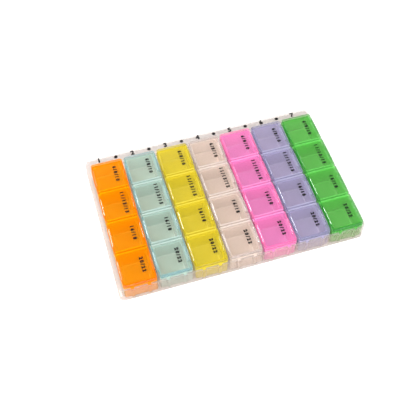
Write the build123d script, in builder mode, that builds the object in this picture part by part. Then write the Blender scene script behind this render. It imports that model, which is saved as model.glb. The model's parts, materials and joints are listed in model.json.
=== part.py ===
from build123d import *
from math import sqrt
import os

os.makedirs("parts", exist_ok=True)

# Weekly pill organizer: an open tray that holds one lift-out box for each day,
# and on each box a row of compartments, every one with its own hinged lid.
# X runs along the week, Y from the front of the tray to its label ledge, Z up.
# The origin is the centre of the tray's underside. All sizes are millimetres.

# Counts, the gap between neighbouring boxes, and the pitch of the lids on a box
day_count = 7
slot_count = 4
box_gap = 1.6
slot_pitch = 31.9

# Lids
lid_width = 28.0
lid_gap = 1.5
lid_top = 20.6
lid_height = 3.2
lid_plate = 1.6
lid_skirt = 1.0
lid_corner = 2.0
lid_nick = 0.8
lid_seat_gap = 0.2

# Finger scoop and lip on the opening edge of a lid
scoop_length = 18.0
scoop_reach = 1.4
scoop_depth = 0.9
lip_reach = 0.7
lip_thickness = 0.8

# Snap hinge: a half-round pin across a notch in the lid, and a slotted clip on
# the box. The flat of the pin lets it through the clip's lips with the lid up.
pin_radius = 0.75
pin_margin = 0.05
pin_clearance = 0.08
clip_length = 15.0
clip_wall = 0.65
clip_bite = 0.1
clip_gap = 0.25
clip_relief = 0.1

# Day boxes
lid_inset = 0.2
box_corner = 2.2
box_skin = 1.2
rim_wall = 0.9
rim_clearance = 0.3
cell_floor = 1.2
cell_corner = 2.0
deck_thickness = 1.2
catch_length = 8.0
catch_height = 0.4
catch_drop = 0.3
catch_clearance = 0.08

# Locating ribs on the front of a box, and their grooves in the tray
rib_spread = 14.0
rib_width = 2.4
rib_depth = 0.8
rib_clearance = 0.4
rib_above_tray = 0.4
notch_depth = 1.8

# Tray
tray_height = 16.0
tray_floor = 1.6
tray_corner = 4.5
front_wall = 1.5
right_wall = 1.5
side_ledge = 4.4
label_ledge = 9.9
ledge_top = 1.4
ledge_skin = 1.2
tray_bevel = 0.5
well_gap = 0.4
divider_thickness = 0.8
divider_height = 6.0

# Heights that follow from the lids' seats
lid_bottom = lid_top - lid_height
plate_bottom = lid_top - lid_plate
deck_top = lid_bottom - lid_seat_gap
rim_top = plate_bottom - lid_seat_gap
cell_base = tray_floor + cell_floor

# Outlines that follow from the lids and the pitches
lid_length = slot_pitch - lid_gap
box_width = lid_width + 2 * lid_inset
column_pitch = box_width + box_gap
box_length = slot_count * slot_pitch - lid_gap + 2 * lid_inset
box_front = -box_length / 2
well_width = (day_count - 1) * column_pitch + box_width + 2 * well_gap
well_length = box_length + 2 * well_gap
well_corner = box_corner + well_gap
tray_width = side_ledge + well_width + right_wall
tray_depth = front_wall + well_length + label_ledge
tray_front = -tray_depth / 2
well_left = side_ledge - tray_width / 2
well_x = well_left + well_width / 2
well_front = tray_front + front_wall
well_back = well_front + well_length
well_y = (well_front + well_back) / 2

# The hinge pin runs along Y, just inside the top and the right-hand edge of the lid
axis_x = lid_width / 2 - pin_margin - pin_radius
axis_z = lid_top - pin_margin - pin_radius
slot_reach = pin_radius + pin_clearance
mouth_reach = pin_radius - clip_bite
lip_rise = sqrt(pin_radius**2 - (mouth_reach - pin_clearance) ** 2)
clip_left = axis_x - slot_reach - clip_wall
clip_top = lid_top - clip_relief
notch_length = clip_length + 2 * clip_gap

# The raised rim round a compartment fits inside its lid, beside the clip
rim_left = lid_skirt + rim_clearance - lid_width / 2
rim_right = clip_left
rim_width = rim_right - rim_left
rim_x = (rim_right + rim_left) / 2
rim_length = lid_length - 2 * lid_skirt - 2 * rim_clearance
rim_corner = lid_corner - lid_skirt - rim_clearance
cell_width = rim_width - 2 * rim_wall
cell_length = rim_length - 2 * rim_wall

column_spots = [
    well_x + (day - (day_count - 1) / 2) * column_pitch for day in range(day_count)
]
slot_spots = [((slot_count - 1) / 2 - slot) * slot_pitch for slot in range(slot_count)]


# Tray: a shallow well with single walls at the front and right, and a hollow
# ledge at the left and back. The wide ledge at the back carries the day marks.
with BuildPart() as tray:
    with BuildSketch():
        RectangleRounded(tray_width, tray_depth, tray_corner)
    extrude(amount=tray_height)
    top_face = tray.faces().sort_by(Axis.Z)[-1]
    chamfer(top_face.outer_wire().edges(), tray_bevel)

    with BuildSketch(Plane.XY.offset(tray_floor)):
        with Locations((well_x, well_y)):
            RectangleRounded(well_width, well_length, well_corner)
    extrude(amount=tray_height, mode=Mode.SUBTRACT)

    # Space under the ledge, open below, between its outer and inner skins
    with BuildSketch():
        RectangleRounded(
            tray_width - 2 * ledge_skin,
            tray_depth - 2 * ledge_skin,
            tray_corner - ledge_skin,
        )
        with Locations((well_left - ledge_skin, well_back + ledge_skin)):
            Rectangle(
                tray_width,
                tray_depth,
                align=(Align.MIN, Align.MAX),
                mode=Mode.SUBTRACT,
            )
        with Locations((0, tray_front)):
            Rectangle(
                tray_width,
                tray_corner,
                align=(Align.CENTER, Align.MIN),
                mode=Mode.SUBTRACT,
            )
    extrude(amount=tray_height - ledge_top, mode=Mode.SUBTRACT)

    # Low dividers on the floor keep neighbouring boxes apart
    divider_spots = [
        ((left + right) / 2, well_y)
        for left, right in zip(column_spots, column_spots[1:])
    ]
    with BuildSketch(Plane.XY.offset(tray_floor)):
        with Locations(*divider_spots):
            Rectangle(divider_thickness, well_length)
    extrude(amount=divider_height)

    # Grooves inside the front wall for the boxes' ribs, notched at the top
    groove_width = rib_width + 2 * rib_clearance
    groove_spots = [
        (column + side * rib_spread / 2, well_front)
        for column in column_spots
        for side in (-1, 1)
    ]
    with BuildSketch(Plane.XY.offset(tray_floor)):
        with Locations(*groove_spots):
            Rectangle(groove_width, 2 * rib_depth)
    extrude(amount=tray_height, mode=Mode.SUBTRACT)
    with BuildSketch(Plane.XY.offset(tray_height)):
        with Locations(*groove_spots):
            Rectangle(groove_width, 3 * front_wall)
    extrude(amount=-notch_depth, mode=Mode.SUBTRACT)


# Day box: a row of cups under one deck. Each cup ends in a raised rim that
# its lid closes over, with a clip beside it for the lid's hinge pin.
with BuildPart() as box_form:
    with BuildSketch(Plane.XY.offset(tray_floor)):
        RectangleRounded(box_width, box_length, box_corner)
    extrude(amount=deck_top - tray_floor)

    rim_spots = [(rim_x, y) for y in slot_spots]
    with BuildSketch(Plane.XY.offset(deck_top)):
        with Locations(*rim_spots):
            rim_outline = Rectangle(rim_width, rim_length)
        chamfer(rim_outline.vertices(), rim_corner)
    extrude(amount=rim_top - deck_top)

    with BuildSketch(Plane.XY.offset(cell_base)):
        with Locations(*rim_spots):
            cell_outline = Rectangle(cell_width, cell_length)
        chamfer(cell_outline.vertices(), cell_corner)
    extrude(amount=lid_top, mode=Mode.SUBTRACT)

    # Hollows under the deck, open below: between the cups, and beside them
    # under the hinges
    cup_length = cell_length + 2 * box_skin
    cup_right = rim_x + cell_width / 2 + box_skin
    between_spots = [
        (0, (back + front) / 2) for back, front in zip(slot_spots, slot_spots[1:])
    ]
    with BuildSketch(Plane.XY.offset(tray_floor)):
        with Locations(*between_spots):
            Rectangle(box_width - 2 * box_skin, slot_pitch - cup_length)
        with Locations((cup_right, 0)):
            Rectangle(
                box_width / 2 - box_skin - cup_right,
                box_length - 2 * box_corner,
                align=(Align.MIN, Align.CENTER),
            )
    extrude(amount=deck_top - deck_thickness - tray_floor, mode=Mode.SUBTRACT)

    # Hinge clips: each is open along its top, where the pin snaps in
    clip_starts = [y - clip_length / 2 for y in slot_spots]
    with BuildSketch(*[Plane.XZ.offset(-start) for start in clip_starts]):
        with Locations((clip_left, deck_top)):
            Rectangle(box_width / 2 - clip_left, clip_top - deck_top, align=(Align.MIN, Align.MIN))
        with Locations((axis_x, axis_z - slot_reach)):
            Rectangle(
                2 * slot_reach,
                slot_reach + lip_rise,
                align=(Align.CENTER, Align.MIN),
                mode=Mode.SUBTRACT,
            )
            Rectangle(
                2 * mouth_reach,
                lid_height,
                align=(Align.CENTER, Align.MIN),
                mode=Mode.SUBTRACT,
            )
    extrude(amount=-clip_length)

    # A low catch on each rim, which the lid's skirt snaps down past
    catch_rise = rim_clearance - catch_clearance
    with BuildSketch(Plane.XY.offset(rim_top - catch_drop)):
        with Locations(*[(rim_left, y) for y in slot_spots]):
            Rectangle(2 * catch_rise, catch_length)
    extrude(amount=-catch_height)

    # Locating ribs on the front
    rib_spots = [(side * rib_spread / 2, box_front) for side in (-1, 1)]
    with BuildSketch(Plane.XY.offset(tray_floor)):
        with Locations(*rib_spots):
            Rectangle(rib_width, 2 * rib_depth)
    extrude(amount=tray_height + rib_above_tray - tray_floor)


def make_lid(end):
    """A shallow cap with a skirt on three sides. Its hinge edge is notched for
    the clip, and a scooped lip on the far edge takes a fingertip. The lids at
    the two ends of a box, end 1 at the back and -1 at the front, follow the
    box's rounded corners, and the other corners are only nicked."""
    with BuildPart() as lid:
        with BuildSketch(Plane.XY.offset(lid_bottom)):
            outline = Rectangle(lid_width, lid_length)
            rounded = [v for v in outline.vertices() if v.Y * end > 0]
            nicked = [v for v in outline.vertices() if v.Y * end <= 0]
            if rounded:
                fillet(rounded, lid_corner)
            chamfer(nicked, lid_nick)
        extrude(amount=lid_height)

        # The inside of the skirt, which stops at the hinge axis
        with BuildSketch(Plane.XY.offset(lid_bottom)):
            with Locations((lid_skirt - lid_width / 2, 0)):
                pocket = Rectangle(
                    lid_width,
                    lid_length - 2 * lid_skirt,
                    align=(Align.MIN, Align.CENTER),
                )
            chamfer(pocket.vertices().group_by(Axis.X)[0], lid_corner - lid_skirt)
            with Locations((axis_x, 0)):
                Rectangle(lid_width, 2 * lid_length, align=(Align.MIN, Align.CENTER))
        extrude(amount=lid_height - lid_plate, mode=Mode.SUBTRACT)

        # Finger lip, then one cylindrical cut that scoops both lid and lip
        lip_end = -lid_width / 2 - lip_reach
        scoop_run = scoop_reach + lip_reach
        scoop_radius = (scoop_run**2 + scoop_depth**2) / (2 * scoop_depth)
        lip_bottom = lid_top - scoop_depth - lip_thickness
        with BuildSketch(Plane.XY.offset(lip_bottom)):
            with Locations((lip_end, 0)):
                Rectangle(
                    lip_reach + lid_skirt / 2,
                    scoop_length,
                    align=(Align.MIN, Align.CENTER),
                )
        extrude(amount=lip_thickness + scoop_depth / 2)
        with BuildSketch(Plane.XZ):
            with Locations((lip_end, lid_top - scoop_depth + scoop_radius)):
                Circle(scoop_radius)
        extrude(amount=scoop_length / 2, both=True, mode=Mode.SUBTRACT)

        # Notch for the clip, then the half-round pin across it
        with BuildSketch(Plane.XY.offset(lid_bottom)):
            with Locations((clip_left - clip_gap, 0)):
                Rectangle(lid_width, notch_length, align=(Align.MIN, Align.CENTER))
        extrude(amount=2 * lid_height, mode=Mode.SUBTRACT)
        with BuildSketch(Plane.XZ):
            with Locations((axis_x, axis_z)):
                Circle(pin_radius)
                Rectangle(
                    2 * pin_radius,
                    pin_radius,
                    align=(Align.CENTER, Align.MAX),
                    mode=Mode.SUBTRACT,
                )
        extrude(amount=notch_length / 2, both=True)
    return lid.part


lid_forms = [make_lid(1), make_lid(0), make_lid(0), make_lid(-1)]


# Write the tray, then each day's box with its lids
tray.part.label = "tray"
export_step(tray.part, "parts/tray.step")

for day, column in enumerate(column_spots, start=1):
    with BuildPart() as day_box:
        with Locations((column, well_y)):
            add(box_form.part)
    day_box.part.label = f"day_{day}_box"
    export_step(day_box.part, f"parts/{day_box.part.label}.step")

    for slot, row in enumerate(slot_spots, start=1):
        with BuildPart() as day_lid:
            with Locations((column, well_y + row)):
                add(lid_forms[slot - 1])
        day_lid.part.label = f"day_{day}_lid_{slot}"
        export_step(day_lid.part, f"parts/{day_lid.part.label}.step")
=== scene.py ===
"""Dresses a weekly pill organizer: a frosted tray with seven day boxes, each with four hinged lids."""

import json
import math

import bmesh
import bpy
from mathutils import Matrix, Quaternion, Vector


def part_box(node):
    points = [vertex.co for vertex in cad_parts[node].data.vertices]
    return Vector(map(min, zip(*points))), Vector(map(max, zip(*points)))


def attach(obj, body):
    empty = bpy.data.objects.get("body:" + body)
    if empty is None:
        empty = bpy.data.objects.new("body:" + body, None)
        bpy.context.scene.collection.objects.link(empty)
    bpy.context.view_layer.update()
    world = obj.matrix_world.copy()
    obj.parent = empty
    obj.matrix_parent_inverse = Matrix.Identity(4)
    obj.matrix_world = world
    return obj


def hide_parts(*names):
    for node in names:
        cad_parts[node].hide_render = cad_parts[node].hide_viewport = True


bl_info = {
    "name": "Weekly Pill Organizer",
    "version": (1, 0, 0),
    "blender": (4, 5, 0),
    "location": "3D View > Sidebar > Organizer",
    "description": "Builds the tray, day boxes, hinged lids and printed numbers of a weekly pill organizer",
    "category": "Object",
}

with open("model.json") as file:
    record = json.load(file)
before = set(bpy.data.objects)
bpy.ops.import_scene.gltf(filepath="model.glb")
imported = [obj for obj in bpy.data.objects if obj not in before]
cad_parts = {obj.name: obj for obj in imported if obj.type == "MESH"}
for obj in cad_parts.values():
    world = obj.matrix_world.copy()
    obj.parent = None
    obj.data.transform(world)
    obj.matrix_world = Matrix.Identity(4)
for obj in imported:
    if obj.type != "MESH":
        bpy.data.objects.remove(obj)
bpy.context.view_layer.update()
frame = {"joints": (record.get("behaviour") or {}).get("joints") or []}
hinge_spots = {
    joint["child"]: Vector(joint["pos_m"]) for joint in frame["joints"] if joint["type"] == "hinge"
}
tray_low, tray_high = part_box("tray")
box_low, box_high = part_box("day_1_box")
lid_low, lid_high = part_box("day_1_lid_2")

MM = 0.001
DAYS = range(1, 8)
LIDS = range(1, 5)
DAY_COLOURS = ("orange", "teal", "yellow", "clear", "pink", "lavender", "green")
LID_HOURS = ("6/8/10", "11/13/15", "16/18", "20/22")

# Spacing of the hours' figures, spread of the ink as a share of the type size, and sides of a dot
HOUR_SPACING = 1.6
HOUR_WEIGHT = 0.08
MARK_WEIGHT = 0.065
DOT_SIDES = 16

# Least corner radii inside the cups and the lids, and how close a cut may pass a corner point
LEAST_CUP_CORNER = 0.3 * MM
LEAST_LID_CORNER = 0.4 * MM
TOUCH = 0.001 * MM

# Limits for a face's normal: along an axis, of a level face, of one more level than steep, and upright
ALONG = 0.9
LEVEL = 0.95
MOSTLY_LEVEL = 0.7
UPRIGHT = 0.3

# Places on a plastic's colour ramp, from its flat faces through its edges to its palest colour, which is
# painted light: a pale colour laid where shade would fall in narrow gaps, and on edges as a painted
# highlight
FACE = 0.0
CUP_WALL = 0.2
# Painted shade: level tops of rims and of the deck round them, darker than the flat faces where they catch
# the most light
PAINTED_SHADE_TOP = 0.3
EDGE = 0.5
# Painted light: a lid's upright long sides and its ends beside another lid, nearly as pale as the palest
# colour
SIDE_PAINTED_PALE = 0.9
# Painted light: the palest colour, on places that would lie in shade or catch a highlight
PAINTED_LIGHT = 1.0

# Plastics of a day box, a lid and the tray, in the order in which each piece lists them
BOX_KINDS = ("cup", "flank", "side")
LID_KINDS = ("window", "frame")
TRAY_KINDS = ("ledge", "wall")

# Roughness, strength of the ripples and scale of the grain for each kind of plastic
FINISHES = {
    "window": (0.12, 0.05, 900.0),
    "frame": (0.15, 0.05, 900.0),
    "cup": (0.2, 0.05, 900.0),
    "flank": (0.2, 0.05, 900.0),
    "side": (0.2, 0.05, 900.0),
    "ledge": (0.3, 0.12, 2500.0),
    "wall": (0.3, 0.12, 2500.0),
}

# Scale and darkest shade of the flow marks, share by which the gloss varies, and height of the ripples
FLOW_SCALE = 60.0
FLOW_SHADE = (0.86, 0.86, 0.86, 1.0)
GLOSS_VARIATION = 0.25
RIPPLE_HEIGHT = 0.2 * MM

# Light that a whole face reflects head-on, and the least value of a colour in a film
FACE_GLOSS = 0.011
LEAST_TINT = 0.002

# The stage's floor and surroundings
WHITE = (1.0, 1.0, 1.0, 1.0)
PAPER_WHITE = (0.95, 0.95, 0.95, 1.0)
FLOOR_DROP = 0.1 * MM


def length(name, description, millimetres):
    """A length property whose default is given in millimetres."""
    return bpy.props.FloatProperty(
        name=name,
        description=description,
        default=millimetres * MM,
        subtype="DISTANCE",
        unit="LENGTH",
        precision=5,
    )


def number(name, description, default, unit="NONE"):
    """A plain number."""
    return bpy.props.FloatProperty(name=name, description=description, default=default, unit=unit)


def share(name, description, default):
    """A share from 0 to 1."""
    return bpy.props.FloatProperty(
        name=name, description=description, default=default, min=0.0, max=1.0, subtype="FACTOR"
    )


def window_share(name, default):
    """The clearness of one day's lids."""
    return share(name, "Share of light that passes a face of a lid's window", default)


def tint(name, red, green, blue):
    """A colour property, with its default in linear light."""
    return bpy.props.FloatVectorProperty(
        name=name,
        description=f"{name} of the plastic",
        default=(red, green, blue),
        min=0.0,
        max=1.0,
        subtype="COLOR",
    )


def location(name, description, x, y, z):
    """A point of the stage, in metres."""
    return bpy.props.FloatVectorProperty(
        name=name, description=description, default=(x, y, z), subtype="XYZ", unit="LENGTH"
    )


def direction(name, description, x, y, z):
    """A direction in which something of the stage lies."""
    return bpy.props.FloatVectorProperty(
        name=name, description=description, default=(x, y, z), subtype="DIRECTION"
    )


class TraySizes(bpy.types.PropertyGroup):
    corner: length("Corner radius", "Outer corners of the tray", 4.5)
    floor: length("Floor", "Thickness of the tray's floor", 1.6)
    front_wall: length("Front wall", "Thickness of the wall in front of the boxes", 1.5)
    right_wall: length("Right wall", "Thickness of the wall at the right of the boxes", 1.5)
    side_ledge: length("Side ledge", "Width of the hollow ledge at the left", 4.4)
    back_ledge: length("Back ledge", "Width of the ledge that carries the day marks", 9.9)
    ledge_top: length("Ledge top", "Thickness of the ledges' top", 1.4)
    ledge_skin: length("Ledge skin", "Thickness of the ledges' outer and inner skins", 1.2)
    well_gap: length("Well gap", "Gap between the boxes and the walls of the well", 0.4)
    divider: length("Divider", "Thickness of the dividers on the floor", 0.8)
    divider_height: length("Divider height", "Height of the dividers above the floor", 6.0)
    notch_depth: length("Notch depth", "Depth of the notches in the top of the front wall", 1.8)
    edge: length("Rim radius", "Rounding of the tray's outer top edge", 0.5)
    fillet: length("Edge radius", "Rounding of the tray's other edges", 0.18)


class BoxSizes(bpy.types.PropertyGroup):
    corner: length("Corner radius", "Outer corners of a day box", 2.2)
    skin: length("Skin", "Thickness of the walls beside the hollows under the deck", 1.2)
    deck_drop: length("Deck drop", "Height of the lids' tops above the deck", 3.4)
    deck: length("Deck", "Thickness of the deck over the hollows", 1.2)
    rim_drop: length("Rim drop", "Height of the lids' tops above the rims", 1.8)
    rim_wall: length("Rim wall", "Thickness of the raised rim round a cup", 0.9)
    rim_left: length("Rim start", "Distance of a rim from the lid's opening edge", 1.3)
    rim_end: length("Rim end gap", "Distance of a rim from the lid's ends", 1.3)
    rim_corner: length("Rim corner", "Outer corner radius of a rim", 1.2)
    cup_floor: length("Cup floor", "Thickness of a cup's floor", 1.2)
    cup_corner: length("Cup corner", "Upright corners inside a cup", 2.2)
    cup_foot: length("Cup foot", "Rounding where a cup's walls meet its floor", 1.6)
    clip_length: length("Clip length", "Length of a hinge clip", 15.0)
    clip_wall: length("Clip wall", "Wall of a hinge clip beside its pin", 0.65)
    clip_relief: length("Clip relief", "Height of the lids' tops above the clips", 0.1)
    slot_reach: length("Slot reach", "Half the width of the slot in a clip", 0.83)
    mouth_reach: length("Mouth reach", "Half the width between a clip's lips", 0.65)
    mouth_rise: length("Mouth rise", "Height of the lips above the pin's axis", 0.487)
    catch_length: length("Catch length", "Length of the catch on a rim", 8.0)
    catch_rise: length("Catch rise", "How far a catch stands out of its rim", 0.22)
    catch_height: length("Catch height", "Height of a catch", 0.4)
    catch_drop: length("Catch drop", "Depth of a catch below the top of its rim", 0.3)
    rib_spread: length("Rib spread", "Distance between the two ribs on a box's front", 14.0)
    rib_width: length("Rib width", "Width of a rib", 2.4)
    rib_depth: length("Rib depth", "How far a rib stands out of a box", 0.8)
    rib_gap: length("Rib gap", "Gap on each side of a rib in its groove", 0.4)
    rib_above: length("Rib above tray", "Height of a rib's top above the tray", 0.4)
    edge: length("Edge radius", "Rounding of a box's edges", 0.22)


class LidSizes(bpy.types.PropertyGroup):
    end_corner: length("End corner radius", "Corners of a lid at the ends of its box", 2.0)
    inner_corner: length("Inner corner radius", "Corners of a lid beside another lid", 1.1)
    plate: length("Plate", "Thickness of a lid's plate", 1.6)
    skirt: length("Skirt", "Thickness of a lid's skirt", 1.0)
    scoop_length: length("Scoop length", "Length of the finger scoop and its lip", 18.0)
    scoop_reach: length("Scoop reach", "How far the scoop runs into the lid", 1.4)
    scoop_depth: length("Scoop depth", "Depth of the scoop at the lip", 0.9)
    lip_reach: length("Lip reach", "How far the lip stands out of the lid", 0.7)
    lip_thickness: length("Lip thickness", "Thickness of the lip", 0.8)
    notch_gap: length("Notch gap", "Gap between the hinge notch and its clip", 0.25)
    pin_radius: length("Pin radius", "Radius of the half-round hinge pin", 0.75)
    edge: length("Edge radius", "Rounding of a lid's edges", 0.3)


class PrintSizes(bpy.types.PropertyGroup):
    hour_height: length("Hour size", "Type size of the hours on the lids", 4.0)
    hour_x: length("Hour position", "Distance of the hours from the middle of a lid", 5.57)
    mark_height: length("Mark size", "Type size of the day marks", 6.2)
    mark_pitch: length("Mark pitch", "Distance between two day marks", 30.8)
    mark_x: length("Mark centre", "Place of the middle mark along the week", -1.45)
    mark_drop: length("Mark distance", "Distance of the marks from the back of the tray", 4.1)
    dot: length("Dot", "Width of the dots between the day marks", 3.3)
    ink: length("Ink", "Thickness of the printed ink", 0.03)


# Each day's and the tray's third tint is painted light: a paler colour laid on deck strips, flanks, lid
# ends and the tray's well, grooves and rounded edges, where shade would fall or a highlight would show
class Plastics(bpy.types.PropertyGroup):
    orange: tint("Orange", 0.981, 0.401, 0.001)
    orange_edge: tint("Orange edges", 0.931, 0.201, 0.001)
    orange_deck: tint("Orange painted_light_tints", 0.972, 0.554, 0.002)
    orange_clearness: window_share("Orange clearness", 0.80)
    teal: tint("Teal", 0.691, 0.830, 0.718)
    teal_edge: tint("Teal edges", 0.198, 0.396, 0.432)
    teal_deck: tint("Teal painted_light_tints", 0.734, 0.861, 0.812)
    teal_clearness: window_share("Teal clearness", 0.88)
    yellow: tint("Yellow", 0.934, 0.783, 0.059)
    yellow_edge: tint("Yellow edges", 0.558, 0.452, 0.023)
    yellow_deck: tint("Yellow painted_light_tints", 0.990, 0.886, 0.129)
    yellow_clearness: window_share("Yellow clearness", 0.82)
    clear: tint("Clear", 0.990, 0.847, 0.752)
    clear_edge: tint("Clear edges", 0.520, 0.446, 0.424)
    clear_deck: tint("Clear painted_light_tints", 0.928, 0.856, 0.807)
    clear_clearness: window_share("Clear clearness", 0.88)
    pink: tint("Pink", 1.000, 0.375, 0.755)
    pink_edge: tint("Pink edges", 0.935, 0.191, 0.434)
    pink_deck: tint("Pink painted_light_tints", 0.979, 0.534, 0.896)
    pink_clearness: window_share("Pink clearness", 0.84)
    lavender: tint("Lavender", 0.623, 0.571, 0.785)
    lavender_edge: tint("Lavender edges", 0.241, 0.251, 0.403)
    lavender_deck: tint("Lavender painted_light_tints", 0.669, 0.649, 0.837)
    lavender_clearness: window_share("Lavender clearness", 0.86)
    green: tint("Green", 0.190, 0.679, 0.137)
    green_edge: tint("Green edges", 0.029, 0.299, 0.039)
    green_deck: tint("Green painted_light_tints", 0.296, 0.927, 0.237)
    green_clearness: window_share("Green clearness", 0.80)
    frosted: tint("Tray", 0.55, 0.50, 0.475)
    frosted_edge: tint("Tray edges", 0.56, 0.42, 0.32)
    frosted_deck: tint("Tray painted_light_tints", 0.900, 0.820, 0.780)
    ledge_clearness: share("Ledge clearness", "Share of light that passes a level face of the tray", 0.58)
    wall_clearness: share("Wall clearness", "Share of light that passes a wall of the tray", 0.87)
    frame_clearness: share("Frame clearness", "Share of light that passes a face of a lid's edges", 0.60)
    flank_clearness: share("Flank clearness", "Share of light that passes a box's sides and bottom", 0.95)
    side_clearness: share("Side clearness", "Share of light that passes a cup's opening side", 0.85)
    cup_clearness: share("Cup clearness", "Share of light that passes another face of a box", 0.42)
    day_depth: share("Day depth", "How strongly a face of a box or lid tints light that passes", 0.08)
    tray_depth: share("Tray depth", "How strongly a face of the tray tints light that passes", 0.15)


class StageSizes(bpy.types.PropertyGroup):
    eye: location("Eye", "Where the camera stands", -0.11789, -0.34445, 0.53501)
    target: location("Target", "Point that the camera looks at", -0.01202, -0.00194, 0.0)
    lens: number("Lens", "Focal length on a 36 mm sensor", 62.864, "CAMERA")
    roll: number("Roll", "Turn of the camera about its own axis", 0.0027, "ROTATION")
    sky: number("Sky", "Brightness of the white surroundings", 1.3)
    flag: direction("Flag", "Where the dark flag lies", 0.16, 0.53, 0.83)
    flag_rim: share("Flag rim", "Cosine of the angle at which the flag begins", 0.78)
    flag_core: share("Flag core", "Cosine of the angle at which the flag is darkest", 0.93)
    flag_light: share("Flag light", "Brightness of the dark flag", 0.03)
    reflector: direction("Reflector", "Where the white reflector lies", -0.29, -0.91, 0.29)
    reflector_rim: share("Reflector rim", "Cosine of the angle at which the reflector begins", 0.3)
    glow: number("Glow", "Brightness that the white reflector adds", 1.4)
    streak_spot: location("Streak place", "Middle of the strip light", -0.58, 0.43, 0.55)
    streak_aim: location("Streak aim", "Point that the strip light faces", -0.02, 0.0, 0.0)
    streak_width: length("Streak width", "Width of the strip light", 50.0)
    streak_length: length("Streak length", "Length of the strip light", 360.0)
    streak_power: number("Streak", "Power of the strip light", 6.3, "POWER")
    floor_glow: number("Floor glow", "Light that the floor gives, as a light table does", 0.3)
    floor_width: length("Floor width", "Width of the square floor", 6000.0)


def rectangle(left, front, right, back, radii=(0.0, 0.0, 0.0, 0.0), steps=8):
    """Corner points of a rectangle, anticlockwise from the front left, with a radius for each corner."""
    centres = (
        (left + radii[0], front + radii[0]),
        (right - radii[1], front + radii[1]),
        (right - radii[2], back - radii[2]),
        (left + radii[3], back - radii[3]),
    )
    points = []
    for quarter, ((x, y), radius) in enumerate(zip(centres, radii)):
        turns = range(steps + 1) if radius else range(1)
        for turn in turns:
            angle = math.radians(180 + 90 * quarter) + math.radians(90) * turn / steps
            points.append((x + radius * math.cos(angle), y + radius * math.sin(angle)))
    return points


def arc(centre, radius, start, end, steps):
    """Points on an arc, from one angle to another in degrees."""
    angles = [math.radians(start + (end - start) * i / steps) for i in range(steps + 1)]
    return [(centre[0] + radius * math.cos(a), centre[1] + radius * math.sin(a)) for a in angles]


def new_object(name, data):
    """An object in the scene, with its mesh, text, light or camera."""
    piece = bpy.data.objects.new(name, data)
    bpy.context.scene.collection.objects.link(piece)
    return piece


def loft(name, rings):
    """A closed solid through rings of points, each with as many points as the others."""
    bm = bmesh.new()
    loops = [[bm.verts.new(point) for point in ring] for ring in rings]
    count = len(rings[0])
    bm.faces.new(reversed(loops[0]))
    bm.faces.new(loops[-1])
    for lower, upper in zip(loops, loops[1:]):
        for i in range(count):
            j = (i + 1) % count
            bm.faces.new((lower[i], lower[j], upper[j], upper[i]))
    bmesh.ops.recalc_face_normals(bm, faces=bm.faces)
    mesh = bpy.data.meshes.new(name)
    bm.to_mesh(mesh)
    bm.free()
    return new_object(name, mesh)


def prism(name, outline, bottom, top):
    """A solid that stands on an outline in plan."""
    return loft(name, [[(x, y, z) for x, y in outline] for z in (bottom, top)])


def bar(name, outline, start, end):
    """A solid along Y, with an outline of (x, z) points."""
    return loft(name, [[(x, y, z) for x, z in outline] for y in (start, end)])


def evaluated_mesh(piece):
    """A new mesh of a piece as it looks with its modifiers."""
    return bpy.data.meshes.new_from_object(piece.evaluated_get(bpy.context.evaluated_depsgraph_get()))


def apply_modifiers(piece):
    """Puts the result of a piece's modifiers into its mesh."""
    mesh = evaluated_mesh(piece)
    piece.modifiers.clear()
    piece.data = mesh
    return piece


def gather(name, parts):
    """Several solids as one object, which takes their place."""
    bm = bmesh.new()
    for part in parts:
        bm.from_mesh(part.data)
        bpy.data.objects.remove(part)
    mesh = bpy.data.meshes.new(name)
    bm.to_mesh(mesh)
    bm.free()
    return new_object(name, mesh)


def combine(piece, operation, parts):
    """Joins solids to a piece, or cuts them from it, and removes them."""
    tool = gather(piece.name + "_tool", parts)
    modifier = piece.modifiers.new("Combine", "BOOLEAN")
    modifier.object = tool
    modifier.operation = operation
    modifier.solver = "EXACT"
    modifier.use_self = True
    apply_modifiers(piece)
    bpy.data.objects.remove(tool)
    return piece


def split_along(piece, cuts):
    """Cuts a piece's faces along planes, each given as a point and a normal."""
    bm = bmesh.new()
    bm.from_mesh(piece.data)
    for spot, normal in cuts:
        parts = [*bm.verts, *bm.edges, *bm.faces]
        bmesh.ops.bisect_plane(bm, geom=parts, plane_co=spot, plane_no=normal, dist=TOUCH)
    bm.to_mesh(piece.data)
    bm.free()
    return piece


def soften(piece, radius, sharp=35.0):
    """Rounds the sharp edges of a moulded piece and shades the rest smooth."""
    bevel = piece.modifiers.new("Soft edges", "BEVEL")
    bevel.width = radius
    bevel.segments = 3
    bevel.limit_method = "ANGLE"
    bevel.angle_limit = math.radians(sharp)
    bevel.use_clamp_overlap = True
    bevel.harden_normals = False
    apply_modifiers(piece)
    mesh = piece.data
    mesh.polygons.foreach_set("use_smooth", [True] * len(mesh.polygons))
    mesh.set_sharp_from_angle(angle=math.radians(sharp))
    normals = piece.modifiers.new("Even normals", "WEIGHTED_NORMAL")
    normals.keep_sharp = True
    normals.weight = 80
    return apply_modifiers(piece)


def mark_faces(piece, ramp_place, kinds, kind):
    """Stores each face's place on its plastic's colour ramp, which holds painted light and painted shade as
    well as the plastic's colours, and which of the piece's plastics it has.
    """
    faces = [(face.center.copy(), face.normal.copy()) for face in piece.data.polygons]
    layer = piece.data.attributes.new("edge", "FLOAT", "FACE")
    layer.data.foreach_set("value", [ramp_place(*face) for face in faces])
    piece.data.polygons.foreach_set("material_index", [kinds.index(kind(*face)) for face in faces])


def add_node(tree, kind, **settings):
    """A shader node, with its settings and the values of its sockets."""
    node = tree.nodes.new(kind)
    for key, value in settings.items():
        if hasattr(node, key):
            setattr(node, key, value)
        else:
            node.inputs[key.replace("_", " ")].default_value = value
    return node


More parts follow.
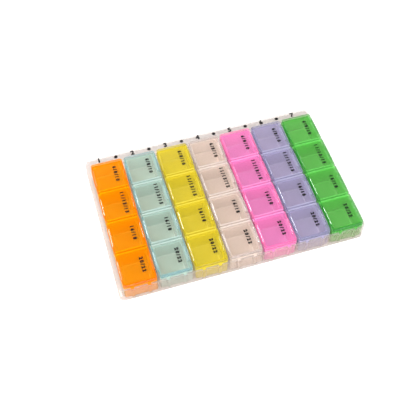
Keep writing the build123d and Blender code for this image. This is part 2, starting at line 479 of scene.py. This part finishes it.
def plastic(kind, colour_name):
    """Clear moulded plastic for one kind of face.

    A tinted film, which light passes, lies under a glossy skin with faint flow ripples.
    """
    of_day = colour_name in DAY_COLOURS
    name = f"{colour_name}_{kind}_plastic" if of_day else f"{kind}_plastic"
    if name in bpy.data.materials:
        return bpy.data.materials[name]
    plastics = bpy.context.scene.organizer_plastics
    # The third tint, deck, is painted light: a paler colour for places in shaded gaps and for painted
    # highlights
    face, edge, deck = [getattr(plastics, colour_name + part) for part in ("", "_edge", "_deck")]
    clearness = getattr(plastics, (colour_name if kind == "window" else kind) + "_clearness")
    depth = plastics.day_depth if of_day else plastics.tray_depth
    roughness, ripple, grain = FINISHES[kind]
    material = bpy.data.materials.new(name)
    material.use_nodes = True
    tree = material.node_tree
    tree.nodes.clear()
    place = add_node(tree, "ShaderNodeTexCoord")
    flow = add_node(tree, "ShaderNodeTexNoise", Scale=FLOW_SCALE, Detail=2.0, Roughness=0.5)
    fine = add_node(tree, "ShaderNodeTexNoise", Scale=grain, Detail=3.0, Roughness=0.6)
    for noise in (flow, fine):
        tree.links.new(place.outputs["Object"], noise.inputs["Vector"])

    # From flat faces, through edges, to the pale tint painted as light where shade would fall or a
    # highlight would show
    shape = add_node(tree, "ShaderNodeAttribute", attribute_name="edge")
    ramp = add_node(tree, "ShaderNodeValToRGB")
    ramp.color_ramp.elements[0].color = (*face, 1.0)
    ramp.color_ramp.elements[1].color = (*deck, 1.0)
    ramp.color_ramp.elements.new(EDGE).color = (*edge, 1.0)
    tree.links.new(shape.outputs["Fac"], ramp.inputs["Fac"])
    shade = add_node(tree, "ShaderNodeMix", data_type="RGBA", blend_type="MULTIPLY")
    shade.inputs["B"].default_value = FLOW_SHADE
    tree.links.new(ramp.outputs["Color"], shade.inputs["A"])
    tree.links.new(flow.outputs["Fac"], shade.inputs["Factor"])
    gloss = add_node(tree, "ShaderNodeMapRange")
    gloss.inputs["To Min"].default_value = roughness * (1.0 - GLOSS_VARIATION)
    gloss.inputs["To Max"].default_value = roughness * (1.0 + GLOSS_VARIATION)
    tree.links.new(fine.outputs["Fac"], gloss.inputs["Value"])
    bump = add_node(tree, "ShaderNodeBump", Strength=ripple, Distance=RIPPLE_HEIGHT)
    tree.links.new(fine.outputs["Fac"], bump.inputs["Height"])

    # The film takes most of a face, so the skin's gloss is raised to that of a whole face
    root = math.sqrt(FACE_GLOSS / (1.0 - clearness))
    skin = add_node(tree, "ShaderNodeBsdfPrincipled", IOR=(1.0 + root) / (1.0 - root))
    skin.inputs["Specular IOR Level"].default_value = 1.0
    tree.links.new(shade.outputs["Result"], skin.inputs["Base Color"])
    tree.links.new(gloss.outputs["Result"], skin.inputs["Roughness"])
    tree.links.new(bump.outputs["Normal"], skin.inputs["Normal"])
    film = add_node(tree, "ShaderNodeBsdfTransparent")
    film.inputs["Color"].default_value = (*[max(c, LEAST_TINT) ** depth for c in face], 1.0)
    mix = add_node(tree, "ShaderNodeMixShader")
    mix.inputs["Fac"].default_value = clearness
    output = add_node(tree, "ShaderNodeOutputMaterial")
    tree.links.new(skin.outputs["BSDF"], mix.inputs[1])
    tree.links.new(film.outputs["BSDF"], mix.inputs[2])
    tree.links.new(mix.outputs["Shader"], output.inputs["Surface"])
    return material


def ink():
    """Black printing ink, a little uneven where the pad left it thin."""
    name = "print_ink"
    if name in bpy.data.materials:
        return bpy.data.materials[name]
    material = bpy.data.materials.new(name)
    material.use_nodes = True
    tree = material.node_tree
    skin = tree.nodes["Principled BSDF"]
    place = add_node(tree, "ShaderNodeTexCoord")
    wear = add_node(tree, "ShaderNodeTexNoise", Scale=3000.0, Detail=2.0)
    shade = add_node(tree, "ShaderNodeValToRGB")
    shade.color_ramp.elements[0].color = (0.002, 0.002, 0.002, 1.0)
    shade.color_ramp.elements[1].color = (0.012, 0.012, 0.013, 1.0)
    tree.links.new(place.outputs["Object"], wear.inputs["Vector"])
    tree.links.new(wear.outputs["Fac"], shade.inputs["Fac"])
    tree.links.new(shade.outputs["Color"], skin.inputs["Base Color"])
    skin.inputs["Roughness"].default_value = 0.45
    skin.inputs["Specular IOR Level"].default_value = 0.15
    return material


def dress(piece, materials, body, slot, *nodes):
    """Gives a finished piece its materials and its body, and hides the nodes it stands for."""
    mesh = piece.data
    indices = [face.material_index for face in mesh.polygons]
    mesh.materials.clear()
    for material in materials:
        mesh.materials.append(material)
    mesh.polygons.foreach_set("material_index", indices)
    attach(piece, body)
    if nodes:
        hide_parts(*nodes)
    return piece


def column(day):
    """Middle of a day's box along the week."""
    low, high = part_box(f"day_{day}_box")
    return (low.x + high.x) / 2


def row(day, lid):
    """Middle of a lid from front to back."""
    return hinge_spots[f"day_{day}_lid_{lid}"].y


def middle_spots():
    """Middles of the four lids of the middle day, from back to front."""
    return [row(4, lid) for lid in LIDS]


def hinge_axis():
    """Place of a lid's hinge axis beside the middle of its box, and its height."""
    spot = hinge_spots["day_1_lid_1"]
    return spot.x - column(1), spot.z


class ORGANIZER_OT_tray(bpy.types.Operator):
    """Build the frosted tray with its ledges, dividers and grooves"""

    bl_idname = "organizer.tray"
    bl_label = "Tray"

    def execute(self, context):
        sizes = context.scene.organizer_tray
        boxes = context.scene.organizer_box
        left, front, bottom = tray_low
        right, back, top = tray_high
        edge, skin = sizes.edge, sizes.ledge_skin

        def outer(inset, z):
            radii = [sizes.corner - inset] * 4
            outline = rectangle(left + inset, front + inset, right - inset, back - inset, radii, steps=12)
            return [(x, y, z) for x, y in outline]

        rings = [outer(edge / 2, bottom), outer(0.0, bottom + edge / 2)]
        rings += [outer(inset, z) for inset, z in arc((edge, top - edge), edge, 180, 90, 4)]
        tray = loft("tray_shell", rings)

        gap = sizes.well_gap
        well_front = front + sizes.front_wall
        well_back = back - sizes.back_ledge
        well = rectangle(
            left + sizes.side_ledge,
            well_front,
            right - sizes.right_wall,
            well_back,
            [boxes.corner + gap] * 4,
        )
        floor = bottom + sizes.floor

        # The hollow at the left turns the corner into the one at the back
        inner_left = left + sizes.side_ledge - skin
        inner_back = back - sizes.back_ledge + skin
        turn = sizes.corner - skin
        hollow_front = front + sizes.corner
        corners = rectangle(left + skin, inner_back, right - skin, back - skin, (0, 0, turn, turn))[1:]
        under = [
            (left + skin, hollow_front),
            (inner_left, hollow_front),
            (inner_left, inner_back),
            *corners,
        ]
        hollows = [
            prism("well", well, floor, top + edge),
            prism("under_ledge", under, bottom - edge, top - sizes.ledge_top),
        ]
        combine(tray, "DIFFERENCE", hollows)

        columns = [column(day) for day in DAYS]
        groove = boxes.rib_width / 2 + boxes.rib_gap
        grooves = []
        for x in columns:
            for side in (-1, 1):
                middle = x + side * boxes.rib_spread / 2
                span = (middle - groove, middle + groove)
                outline = rectangle(span[0], well_front - boxes.rib_depth, span[1], well_front + gap)
                grooves.append(prism("groove", outline, floor, top + edge))
                outline = rectangle(span[0], front - edge, span[1], well_front + gap)
                grooves.append(prism("notch", outline, top - sizes.notch_depth, top + edge))
        combine(tray, "DIFFERENCE", grooves)

        half = sizes.divider / 2
        divider_top = floor + sizes.divider_height
        dividers = []
        for x in [(a + b) / 2 for a, b in zip(columns, columns[1:])]:
            outline = rectangle(x - half, well_front - gap, x + half, well_back + gap)
            dividers.append(prism("divider", outline, floor - half, divider_top))
        combine(tray, "UNION", dividers)
        soften(tray, sizes.fillet)

        # The sides of the grooves and notches get a painted highlight: they are painted pale where they
        # catch the light
        def is_groove(spot, normal):
            within = left + sizes.corner < spot.x < right - sizes.corner and spot.y < well_front + gap
            return within and abs(normal.x) > ALONG

        def kind(spot, normal):
            return "wall" if abs(normal.z) < LEVEL and not is_groove(spot, normal) else "ledge"

        # Painted light: the well's floor and dividers, the sides of the grooves and the slanted rounded
        # edges get the pale tint, laid where shade falls between the boxes and as painted highlights on the
        # edges; upright walls get the edge tint
        def ramp_place(spot, normal):
            across = left + sizes.side_ledge < spot.x < right - sizes.right_wall
            along = well_front < spot.y < well_back
            low = floor - half < spot.z < divider_top + half
            if (across and along and low) or is_groove(spot, normal):
                return PAINTED_LIGHT
            return FACE if abs(normal.z) > LEVEL else EDGE if abs(normal.z) < UPRIGHT else PAINTED_LIGHT

        mark_faces(tray, ramp_place, TRAY_KINDS, kind)
        dress(tray, [plastic(kind, "frosted") for kind in TRAY_KINDS], "tray", "tray_frosted", "tray")
        return {"FINISHED"}


def box_form(sizes):
    """One day box, with its middle at x = 0."""
    half = (box_high.x - box_low.x) / 2
    front = box_low.y + sizes.rib_depth
    back = box_high.y
    bottom = box_low.z
    lid_top = lid_high.z
    deck = lid_top - sizes.deck_drop
    rim_top = lid_top - sizes.rim_drop
    outline = rectangle(-half, front, half, back, [sizes.corner] * 4, steps=10)
    box = prism("box", outline, bottom, deck)

    axis_x, axis_z = hinge_axis()
    wall, foot = sizes.rim_wall, sizes.cup_foot
    slot_reach, mouth_reach = sizes.slot_reach, sizes.mouth_reach
    lips = axis_z + sizes.mouth_rise
    rim_left = sizes.rim_left - (lid_high.x - column(1))
    rim_right = axis_x - slot_reach - sizes.clip_wall
    rim_reach = (lid_high.y - lid_low.y) / 2 - sizes.rim_end
    cup_base = bottom + sizes.cup_floor
    clip_reach = sizes.clip_length / 2
    catch_top = rim_top - sizes.catch_drop
    slot = [
        (axis_x - slot_reach, axis_z - slot_reach),
        (axis_x + slot_reach, axis_z - slot_reach),
        (axis_x + slot_reach, lips),
        (axis_x + mouth_reach, lips),
        (axis_x + mouth_reach, lid_top + sizes.deck),
        (axis_x - mouth_reach, lid_top + sizes.deck),
        (axis_x - mouth_reach, lips),
        (axis_x - slot_reach, lips),
    ]
    catch = [
        (rim_left + wall / 2, catch_top),
        (rim_left - sizes.catch_rise, catch_top - sizes.catch_height / 2),
        (rim_left + wall / 2, catch_top - sizes.catch_height),
    ]
    rims, cups, clips, slots, catches = [], [], [], [], []
    for y in middle_spots():
        outline = rectangle(rim_left, y - rim_reach, rim_right, y + rim_reach, [sizes.rim_corner] * 4)
        rims.append(prism("rim", outline, deck - sizes.deck / 2, rim_top))
        rings = []
        for inset, z in [*arc((foot, cup_base + foot), foot, 270, 180, 5), (0.0, lid_top)]:
            ring = rectangle(
                rim_left + wall + inset,
                y - rim_reach + wall + inset,
                rim_right - wall - inset,
                y + rim_reach - wall - inset,
                [max(sizes.cup_corner - inset, LEAST_CUP_CORNER)] * 4,
            )
            rings.append([(px, py, z) for px, py in ring])
        cups.append(loft("cup", rings))
        clip = rectangle(rim_right - wall / 2, y - clip_reach, half, y + clip_reach)
        clips.append(prism("clip", clip, deck - sizes.deck / 2, lid_top - sizes.clip_relief))
        slots.append(bar("slot", slot, y - clip_reach - sizes.deck, y + clip_reach + sizes.deck))
        catches.append(bar("catch", catch, y - sizes.catch_length / 2, y + sizes.catch_length / 2))
    combine(box, "UNION", rims)
    combine(box, "UNION", clips)
    combine(box, "DIFFERENCE", cups)
    combine(box, "DIFFERENCE", slots)
    combine(box, "UNION", catches)

    # Hollows under the deck, between the cups and beside the hinges
    spots = middle_spots()
    skin = sizes.skin
    cup_reach = rim_reach - wall + skin
    outlines = [
        rectangle(skin - half, b + cup_reach, half - skin, a - cup_reach) for a, b in zip(spots, spots[1:])
    ]
    outlines.append(
        rectangle(rim_right - wall + skin, front + sizes.corner, half - skin, back - sizes.corner)
    )
    hollows = [prism("hollow", outline, bottom - half, deck - sizes.deck) for outline in outlines]
    combine(box, "DIFFERENCE", hollows)

    ribs = []
    rib_half = sizes.rib_width / 2
    for sign in (-1, 1):
        x = sign * sizes.rib_spread / 2
        outline = rectangle(x - rib_half, box_low.y, x + rib_half, front + sizes.rib_depth)
        ribs.append(prism("rib", outline, bottom, tray_high.z + sizes.rib_above))
    combine(box, "UNION", ribs)
    soften(box, sizes.edge)

    # Painted light: the deck is painted palest in the narrow strips between the lids, where the gap would
    # be in shade
    strips = [(a + b) / 2 for a, b in zip(spots, spots[1:])]
    reach = sizes.rim_end
    split_along(box, [((0, strip + sign * reach, 0), (0, 1, 0)) for strip in strips for sign in (-1, 1)])

    # The outside at the long sides and below, painted pale as painted light in the shaded gaps between the
    # boxes
    def is_flank(spot, normal):
        beside = abs(spot.x) > half - sizes.edge and abs(normal.x) > ALONG
        below = spot.z < bottom + sizes.edge and normal.z < -ALONG
        return beside or below

    # Painted shade on the level tops of rims, clips and the deck round them, which catch the most light;
    # painted light on the deck strips and flanks
    def ramp_place(spot, normal):
        if abs(spot.z - deck) < sizes.edge and normal.z > MOSTLY_LEVEL:
            return PAINTED_LIGHT if min(abs(spot.y - strip) for strip in strips) < reach else PAINTED_SHADE_TOP
        if normal.z > MOSTLY_LEVEL and spot.z > deck:
            return PAINTED_SHADE_TOP
        if is_flank(spot, normal):
            return PAINTED_LIGHT
        return FACE if abs(normal.z) > MOSTLY_LEVEL else CUP_WALL

    def kind(spot, normal):
        if is_flank(spot, normal):
            return "flank"
        return "side" if normal.x > ALONG and spot.x < 0 else "cup"

    mark_faces(box, ramp_place, BOX_KINDS, kind)
    return box


class ORGANIZER_OT_boxes(bpy.types.Operator):
    """Build the seven lift-out day boxes"""

    bl_idname = "organizer.boxes"
    bl_label = "Day boxes"

    def execute(self, context):
        form = box_form(context.scene.organizer_box)
        for day, colour_name in zip(DAYS, DAY_COLOURS):
            node = f"day_{day}_box"
            box = new_object(f"day_{day}_cups", form.data.copy())
            box.location.x = column(day)
            materials = [plastic(kind, colour_name) for kind in BOX_KINDS]
            dress(box, materials, node, "day_" + colour_name, node)
        bpy.data.objects.remove(form)
        return {"FINISHED"}


def lid_form(end, sizes, box):
    """One lid with its middle at x = 0 and y = 0. End 1 is the back of its box, -1 the front, 0 between."""
    half_width = lid_high.x - column(1)
    half_length = (lid_high.y - lid_low.y) / 2
    bottom, top = lid_low.z, lid_high.z
    front_radius = sizes.end_corner if end < 0 else sizes.inner_corner
    back_radius = sizes.end_corner if end > 0 else sizes.inner_corner
    radii = (front_radius, front_radius, back_radius, back_radius)
    outline = rectangle(-half_width, -half_length, half_width, half_length, radii, steps=10)
    lid = prism("lid", outline, bottom, top)

    # The pocket inside the skirt is open to both ends beyond the hinge axis
    axis_x, axis_z = hinge_axis()
    skirt = sizes.skirt
    inside_x, inside_y = half_width - skirt, half_length - skirt
    far_x, far_y = half_width * 2, half_length * 2
    inner = max(sizes.inner_corner - skirt, LEAST_LID_CORNER)
    inner_radii = [max(radius - skirt, inner) for radius in radii]
    left_side = [p for p in rectangle(-inside_x, -inside_y, axis_x, inside_y, inner_radii) if p[0] < 0]
    split = len([p for p in left_side if p[1] < 0])
    pocket = [
        *left_side[:split],
        (axis_x, -inside_y),
        (axis_x, -far_y),
        (far_x, -far_y),
        (far_x, far_y),
        (axis_x, far_y),
        (axis_x, inside_y),
        *left_side[split:],
    ]
    combine(lid, "DIFFERENCE", [prism("pocket", pocket, bottom - skirt, top - sizes.plate)])
    clip_left = axis_x - box.slot_reach - box.clip_wall
    reach = box.clip_length / 2 + sizes.notch_gap
    notch = rectangle(clip_left - sizes.notch_gap, -reach, far_x, reach)
    combine(lid, "DIFFERENCE", [prism("notch", notch, bottom - skirt, top + skirt)])

    lip_end = -half_width - sizes.lip_reach
    lip_bottom = top - sizes.scoop_depth - sizes.lip_thickness
    half_scoop = sizes.scoop_length / 2
    lip = rectangle(lip_end, -half_scoop, skirt / 2 - half_width, half_scoop)
    combine(lid, "UNION", [prism("lip", lip, lip_bottom, top - sizes.scoop_depth / 2)])

    run = sizes.scoop_reach + sizes.lip_reach
    radius = (run**2 + sizes.scoop_depth**2) / (2 * sizes.scoop_depth)
    middle = (lip_end, top - sizes.scoop_depth + radius)
    scoop = [(lip_end - skirt, middle[1]), (lip_end - skirt, top - sizes.scoop_depth)]
    scoop += [*arc(middle, radius, 270, 330, 20), (middle[0] + radius, middle[1])]
    combine(lid, "DIFFERENCE", [bar("scoop", scoop, -half_scoop, half_scoop)])
    pin = arc((axis_x, axis_z), sizes.pin_radius, 0, 180, 12)
    combine(lid, "UNION", [bar("pin", pin, -reach - skirt / 2, reach + skirt / 2)])
    sides = [((sign * inside_x, 0, 0), (1, 0, 0)) for sign in (-1, 1)]
    ends = [((0, sign * inside_y, 0), (0, 1, 0)) for sign in (-1, 1)]
    split_along(lid, sides + ends)
    soften(lid, sizes.edge)

    # Deep colour along the long sides' top edges and at the box's ends. Painted light: the upright long
    # sides and the ends where two lids meet are painted pale, so the gaps look lit instead of shaded
    def ramp_place(spot, normal):
        if abs(spot.x) > inside_x and abs(normal.x) > ALONG:
            return SIDE_PAINTED_PALE
        if abs(spot.x) > inside_x or spot.y * end > inside_y:
            return EDGE
        if abs(spot.y) > inside_y:
            return SIDE_PAINTED_PALE
        return FACE if abs(normal.z) > ALONG else EDGE

    def kind(spot, normal):
        return "window" if ramp_place(spot, normal) == FACE else "frame"

    mark_faces(lid, ramp_place, LID_KINDS, kind)
    return lid


class ORGANIZER_OT_lids(bpy.types.Operator):
    """Build the hinged lids of every day box"""

    bl_idname = "organizer.lids"
    bl_label = "Lids"

    def execute(self, context):
        scene = context.scene
        forms = {end: lid_form(end, scene.organizer_lid, scene.organizer_box) for end in (1, 0, -1)}
        for day, colour_name in zip(DAYS, DAY_COLOURS):
            for lid, end in zip(LIDS, (1, 0, 0, -1)):
                node = f"day_{day}_lid_{lid}"
                piece = new_object(node + "_shell", forms[end].data.copy())
                piece.location = (column(day), row(day, lid), 0.0)
                materials = [plastic(kind, colour_name) for kind in LID_KINDS]
                dress(piece, materials, node, "day_" + colour_name, node)
        for form in forms.values():
            bpy.data.objects.remove(form)
        return {"FINISHED"}


def printed(name, text, size, spot, turn, thickness, weight, spacing=1.0):
    """Raised ink in the shape of some figures, centred on a spot, as a mesh."""
    curve = bpy.data.curves.new(name, "FONT")
    curve.body = text
    curve.size = size
    curve.align_x = "CENTER"
    curve.align_y = "CENTER"
    curve.space_character = spacing
    curve.resolution_u = 3
    curve.extrude = thickness / 2
    curve.offset = size * weight
    figures = new_object(name, curve)
    figures.rotation_euler.z = turn
    figures.location = spot
    solid = new_object(name, evaluated_mesh(figures))
    solid.matrix_world = figures.matrix_basis
    bpy.data.objects.remove(figures)
    solid.name = name
    return solid


class ORGANIZER_OT_hours(bpy.types.Operator):
    """Print a column of hours on every lid"""

    bl_idname = "organizer.hours"
    bl_label = "Lid hours"

    def execute(self, context):
        sizes = context.scene.organizer_print
        turn = math.radians(-90)
        for day, colour_name in zip(DAYS, DAY_COLOURS):
            for lid, hours in zip(LIDS, LID_HOURS):
                node = f"day_{day}_lid_{lid}"
                spot = (column(day) + sizes.hour_x, row(day, lid), lid_high.z)
                piece = printed(
                    node + "_hours",
                    hours,
                    sizes.hour_height,
                    spot,
                    turn,
                    sizes.ink,
                    HOUR_WEIGHT,
                    HOUR_SPACING,
                )
                dress(piece, [ink()], node, "day_" + colour_name)
        return {"FINISHED"}


class ORGANIZER_OT_marks(bpy.types.Operator):
    """Print the numbers of the days and the dots between them on the back ledge"""

    bl_idname = "organizer.marks"
    bl_label = "Day marks"

    def execute(self, context):
        sizes = context.scene.organizer_print
        y, top = tray_high.y - sizes.mark_drop, tray_high.z
        ink_half = sizes.ink / 2
        for day in DAYS:
            x = sizes.mark_x + (day - 4) * sizes.mark_pitch
            name = f"day_mark_{day}"
            mark = printed(name, str(day), sizes.mark_height, (x, y, top), 0.0, sizes.ink, MARK_WEIGHT)
            dress(mark, [ink()], "tray", "tray_frosted")
            if day < DAYS[-1]:
                centre = (x + sizes.mark_pitch / 2, y)
                outline = arc(centre, sizes.dot / 2, 0, 360 - 360 / DOT_SIDES, DOT_SIDES - 1)
                dot = prism(f"day_dot_{day}", outline, top - ink_half, top + ink_half)
                dress(dot, [ink()], "tray", "tray_frosted")
        return {"FINISHED"}


def area_light(name, spot, aim, width, height, power):
    """A rectangular lamp that faces a point."""
    lamp = bpy.data.lights.new(name, "AREA")
    lamp.shape = "RECTANGLE"
    lamp.size = width
    lamp.size_y = height
    lamp.energy = power
    light = new_object(name, lamp)
    light.location = spot
    light.rotation_euler = (Vector(aim) - Vector(spot)).to_track_quat("-Z", "Y").to_euler()
    return light


def add_patch(tree, toward, place, begin, full, outside, inside):
    """Brightness of the surroundings that changes softly towards one direction."""
    cosine = add_node(tree, "ShaderNodeVectorMath", operation="DOT_PRODUCT")
    cosine.inputs[1].default_value = toward
    patch = add_node(tree, "ShaderNodeMapRange", interpolation_type="SMOOTHSTEP")
    patch.inputs["From Min"].default_value = begin
    patch.inputs["From Max"].default_value = full
    patch.inputs["To Min"].default_value = outside
    patch.inputs["To Max"].default_value = inside
    tree.links.new(place.outputs["Generated"], cosine.inputs[0])
    tree.links.new(cosine.outputs["Value"], patch.inputs["Value"])
    return patch


class ORGANIZER_OT_stage(bpy.types.Operator):
    """Set the pale floor, the soft studio light and the camera"""

    bl_idname = "organizer.stage"
    bl_label = "Stage"

    def execute(self, context):
        scene = context.scene
        sizes = scene.organizer_stage
        half = sizes.floor_width / 2
        corners = [(-half, -half, 0), (half, -half, 0), (half, half, 0), (-half, half, 0)]
        mesh = bpy.data.meshes.new("floor")
        mesh.from_pydata(corners, [], [(0, 1, 2, 3)])
        floor = new_object("floor", mesh)
        floor.location.z = tray_low.z - FLOOR_DROP
        paper = bpy.data.materials.new("pale_floor")
        paper.use_nodes = True
        surface = paper.node_tree.nodes["Principled BSDF"].inputs
        surface["Base Color"].default_value = PAPER_WHITE
        surface["Roughness"].default_value = 0.9
        surface["Specular IOR Level"].default_value = 0.1
        surface["Emission Color"].default_value = WHITE
        surface["Emission Strength"].default_value = sizes.floor_glow
        mesh.materials.append(paper)

        world = bpy.data.worlds.new("studio")
        scene.world = world
        world.use_nodes = True
        tree = world.node_tree
        studio = tree.nodes["Background"].inputs
        studio["Color"].default_value = WHITE
        place = add_node(tree, "ShaderNodeTexCoord")

        # A dark flag behind and above keeps its reflection off the flat lids
        flag = add_patch(
            tree, sizes.flag, place, sizes.flag_rim, sizes.flag_core, sizes.sky, sizes.flag_light
        )

        # A wide white reflector in front
        glow = add_patch(tree, sizes.reflector, place, sizes.reflector_rim, 1.0, 0.0, sizes.glow)
        both = add_node(tree, "ShaderNodeMath", operation="ADD")
        tree.links.new(flag.outputs["Result"], both.inputs[0])
        tree.links.new(glow.outputs["Result"], both.inputs[1])
        tree.links.new(both.outputs["Value"], studio["Strength"])
        streak = (sizes.streak_width, sizes.streak_length, sizes.streak_power)
        area_light("streak", sizes.streak_spot, sizes.streak_aim, *streak)
        scene.view_settings.view_transform = "Standard"

        # Light crosses many clear walls, one behind another
        scene.cycles.transparent_max_bounces = 32
        scene.cycles.diffuse_bounces = 8

        camera = bpy.data.cameras.new("camera")
        camera.lens = sizes.lens
        camera.sensor_width = 36.0
        eye = new_object("camera", camera)
        eye.location = sizes.eye
        aim = (Vector(sizes.target) - Vector(sizes.eye)).to_track_quat("-Z", "Y")
        eye.rotation_euler = (aim @ Quaternion((0, 0, 1), sizes.roll)).to_euler()
        scene.camera = eye
        return {"FINISHED"}


class ORGANIZER_PT_panel(bpy.types.Panel):
    """The organizer's pieces, sizes and colours"""

    bl_idname = "ORGANIZER_PT_panel"
    bl_label = "Pill Organizer"
    bl_space_type = "VIEW_3D"
    bl_region_type = "UI"
    bl_category = "Organizer"

    def draw(self, context):
        for operator in OPERATORS:
            self.layout.operator(operator.bl_idname)
        for name in GROUPS:
            settings = getattr(context.scene, name)
            box = self.layout.box()
            for key in settings.__annotations__:
                box.prop(settings, key)


GROUPS = {
    "organizer_tray": TraySizes,
    "organizer_box": BoxSizes,
    "organizer_lid": LidSizes,
    "organizer_print": PrintSizes,
    "organizer_plastics": Plastics,
    "organizer_stage": StageSizes,
}
OPERATORS = (
    ORGANIZER_OT_tray,
    ORGANIZER_OT_boxes,
    ORGANIZER_OT_lids,
    ORGANIZER_OT_hours,
    ORGANIZER_OT_marks,
    ORGANIZER_OT_stage,
)


def register():
    for name, group in GROUPS.items():
        bpy.utils.register_class(group)
        setattr(bpy.types.Scene, name, bpy.props.PointerProperty(type=group))
    for cls in (*OPERATORS, ORGANIZER_PT_panel):
        bpy.utils.register_class(cls)


def unregister():
    for cls in (ORGANIZER_PT_panel, *reversed(OPERATORS)):
        bpy.utils.unregister_class(cls)
    for name, group in GROUPS.items():
        delattr(bpy.types.Scene, name)
        bpy.utils.unregister_class(group)


def main():
    register()
    bpy.ops.organizer.tray()
    bpy.ops.organizer.boxes()
    bpy.ops.organizer.lids()
    bpy.ops.organizer.hours()
    bpy.ops.organizer.marks()
    bpy.ops.organizer.stage()


if __name__ == "__main__":
    main()
